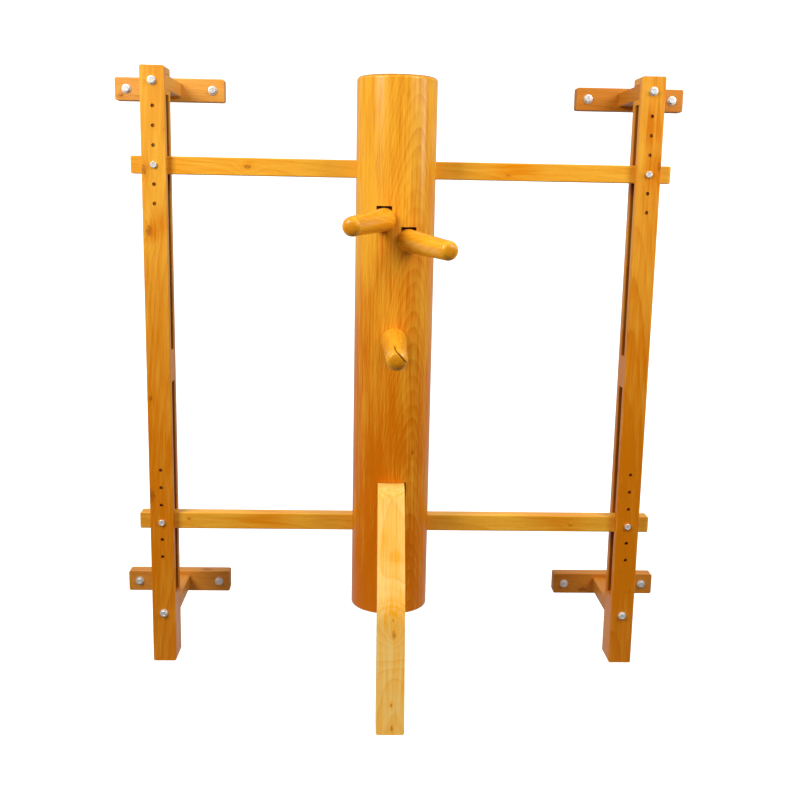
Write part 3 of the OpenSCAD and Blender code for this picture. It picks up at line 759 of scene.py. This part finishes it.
def make_fasteners(zinc, yellow):
    dims = {mount["name"]: mount["dims"] for mount in frame["record"]["mounts"]}
    wall = [(side * dims[name]["spacing_x_mm"] / 2000,
             level * dims[name]["spacing_y_mm"] / 2000)
            for name in ("wall_screws_outer", "wall_screws_inner")
            for side in (-1, 1) for level in (-1, 1)]
    brackets = [centre(place + "_standoff") for place in
                ("upper_left", "upper_right", "lower_left", "lower_right")]
    bolts = [(centre(post).x, centre(bar).z) for post in ("left_upright", "right_upright")
             for bar in ("upper_crossbar", "lower_crossbar")]
    ends = {node: (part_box(node)[0].y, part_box(node)[1].y) for node in
            ("wall_screws", "wall_washers", "bracket_screws", "bracket_washers", "block_screws",
             "crossbar_bolts", "crossbar_washers", "crossbar_nuts")}

    fasteners("threaded_wall_screws", "wall_screws", zinc, wall,
              lambda shape, z: coach_screw(shape, ends["wall_screws"][0], 0.0003,
                                           ends["wall_screws"][1]))
    fasteners("rolled_wall_washers", "wall_washers", zinc, wall,
              lambda shape, z: washer(shape, WALL_WASHER_RADIUS, *ends["wall_washers"]))
    at = [(place.x, place.z) for place in brackets]
    wood_top, wood_bottom = (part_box(level + "_left_standoff")[0].y
                             for level in ("upper", "lower"))
    bite = ends["bracket_screws"][1] - wood_bottom

    def bracket_screw(shape, z):
        wood = wood_top if z > 0 else wood_bottom
        coach_screw(shape, ends["bracket_screws"][0], wood, wood + bite)

    fasteners("threaded_bracket_screws", "bracket_screws", zinc, at, bracket_screw)
    fasteners("rolled_bracket_washers", "bracket_washers", zinc, at,
              lambda shape, z: washer(shape, BRACKET_WASHER_RADIUS, *ends["bracket_washers"]))
    fasteners("threaded_crossbar_bolts", "crossbar_bolts", zinc, bolts,
              lambda shape, z: machine_bolt(shape, *ends["crossbar_bolts"]))
    fasteners("rolled_crossbar_washers", "crossbar_washers", zinc, bolts,
              lambda shape, z: washer(shape, NUT_WASHER_RADIUS, *ends["crossbar_washers"]))
    fasteners("chamfered_crossbar_nuts", "crossbar_nuts", zinc, bolts,
              lambda shape, z: hex_nut(shape, *ends["crossbar_nuts"]))
    sunk = [(place.x + side * BLOCK_SCREW_OFFSET, place.z)
            for place in brackets for side in (-1, 1)]
    fasteners("recessed_block_screws", "block_screws", yellow, sunk,
              lambda shape, z: flat_screw(shape, ends["block_screws"][1],
                                          ends["block_screws"][0]))


# ---------------------------------------------------------------- studio

FLOOR_Z = -1.12
FLOOR_RADIUS = 1.5
CAMERA_PLACE = (-0.108, -3.511, 0.489)
CAMERA_YAW = math.radians(2.01)
CAMERA_PITCH = math.radians(10.74)
CAMERA_ROLL = math.radians(1.10)
CAMERA_LENS = 48.32             # for a sensor 36 mm wide


def make_camera():
    camera = bpy.data.objects.new("camera", bpy.data.cameras.new("camera"))
    scene.collection.objects.link(camera)
    camera.data.lens = CAMERA_LENS
    camera.data.sensor_width = 36.0
    level = math.cos(CAMERA_PITCH)
    ahead = Vector((math.sin(CAMERA_YAW) * level, math.cos(CAMERA_YAW) * level,
                    -math.sin(CAMERA_PITCH)))
    right = Vector((math.cos(CAMERA_YAW), -math.sin(CAMERA_YAW), 0.0))
    up = right.cross(ahead)
    rolled_right = right * math.cos(CAMERA_ROLL) + up * math.sin(CAMERA_ROLL)
    rolled_up = up * math.cos(CAMERA_ROLL) - right * math.sin(CAMERA_ROLL)
    turn = Matrix((rolled_right, rolled_up, -ahead)).transposed()
    camera.matrix_world = Matrix.Translation(CAMERA_PLACE) @ turn.to_4x4()
    scene.camera = camera


def make_softbox(name, place, target, size, watts, colour):
    light = bpy.data.objects.new(name, bpy.data.lights.new(name, "AREA"))
    scene.collection.objects.link(light)
    light.data.shape = "RECTANGLE"
    light.data.size, light.data.size_y = size
    light.data.energy = watts
    light.data.color = colour
    light.location = place
    light.rotation_euler = (Vector(target) - Vector(place)).to_track_quat("-Z", "Y").to_euler()


def make_lights():
    warm = (1.0, 0.97, 0.93)
    white = (1.0, 1.0, 1.0)
    make_softbox("left_softbox", (-2.2, -2.2, 1.9), (0, -0.3, -0.1), (1.2, 1.9), 93, warm)
    make_softbox("right_softbox", (2.1, -1.9, 1.9), (0, -0.3, 0.1), (1.1, 1.7), 54, white)
    make_softbox("right_strip", (2.3, -0.75, 1.05), (0, -0.3, 0.6), (0.4, 1.0), 9, white)


def make_world():
    """A white room: bright behind the dummy and overhead, dim in front and below."""
    world = bpy.data.worlds.new("studio")
    scene.world = world
    world.use_nodes = True
    tree = world.node_tree
    split = tree.nodes.new("ShaderNodeSeparateXYZ")
    place = tree.nodes.new("ShaderNodeTexCoord")
    tree.links.new(place.outputs["Generated"], split.inputs[0])
    total = tree.nodes.new("ShaderNodeLightPath").outputs["Is Camera Ray"]
    for axis, low, high, dim, bright in ((1, -0.3, 0.7, 0.05, 0.40), (2, 0.3, 0.9, 0.0, 0.5)):
        spread = tree.nodes.new("ShaderNodeMapRange")
        tree.links.new(split.outputs[axis], spread.inputs[0])
        for socket, value in zip(spread.inputs[1:5], (low, high, dim, bright)):
            socket.default_value = value
        add = tree.nodes.new("ShaderNodeMath")
        tree.links.new(total, add.inputs[0])
        tree.links.new(spread.outputs[0], add.inputs[1])
        total = add.outputs[0]
    tree.links.new(total, tree.nodes["Background"].inputs["Strength"])
    tree.nodes["Background"].inputs["Color"].default_value = (1.0, 1.0, 1.0, 1.0)


def make_floor():
    """A pale round floor that fades into the white room."""
    mesh = bpy.data.meshes.new("floor")
    shape = bmesh.new()
    bmesh.ops.create_circle(shape, cap_ends=True, radius=FLOOR_RADIUS, segments=96)
    shape.to_mesh(mesh)
    shape.free()
    floor = bpy.data.objects.new("floor", mesh)
    scene.collection.objects.link(floor)
    floor.location = (0, -0.3, FLOOR_Z)
    g = Graph("floor_paint")
    place = g.node("ShaderNodeTexCoord").outputs["Object"]
    speck = g.noise(g.times(place, (3.0, 3.0, 3.0)), 1.0, 4.0)
    g.put(g.shader.inputs["Base Color"], g.mix(speck, (0.93, 0.93, 0.93, 1), (0.97, 0.97, 0.96, 1)))
    g.shader.inputs["Roughness"].default_value = 0.85
    g.shader.inputs["Specular IOR Level"].default_value = 0.1
    fade = g.ramp(g.vector("LENGTH", place), FLOOR_RADIUS * 0.95, FLOOR_RADIUS * 0.2, 0.0, 0.38)
    g.put(g.shader.inputs["Alpha"], fade)
    mesh.materials.append(g.material)


def make_studio():
    scene.view_settings.view_transform = "Standard"
    make_camera()
    make_lights()
    make_world()
    make_floor()


make_studio()
dress_uprights()
dress_bars()
dress_brackets()
dress_trunk()
dress_arms()
make_checked_arm()
dress_leg()
dress_pegs()
dress_metal()
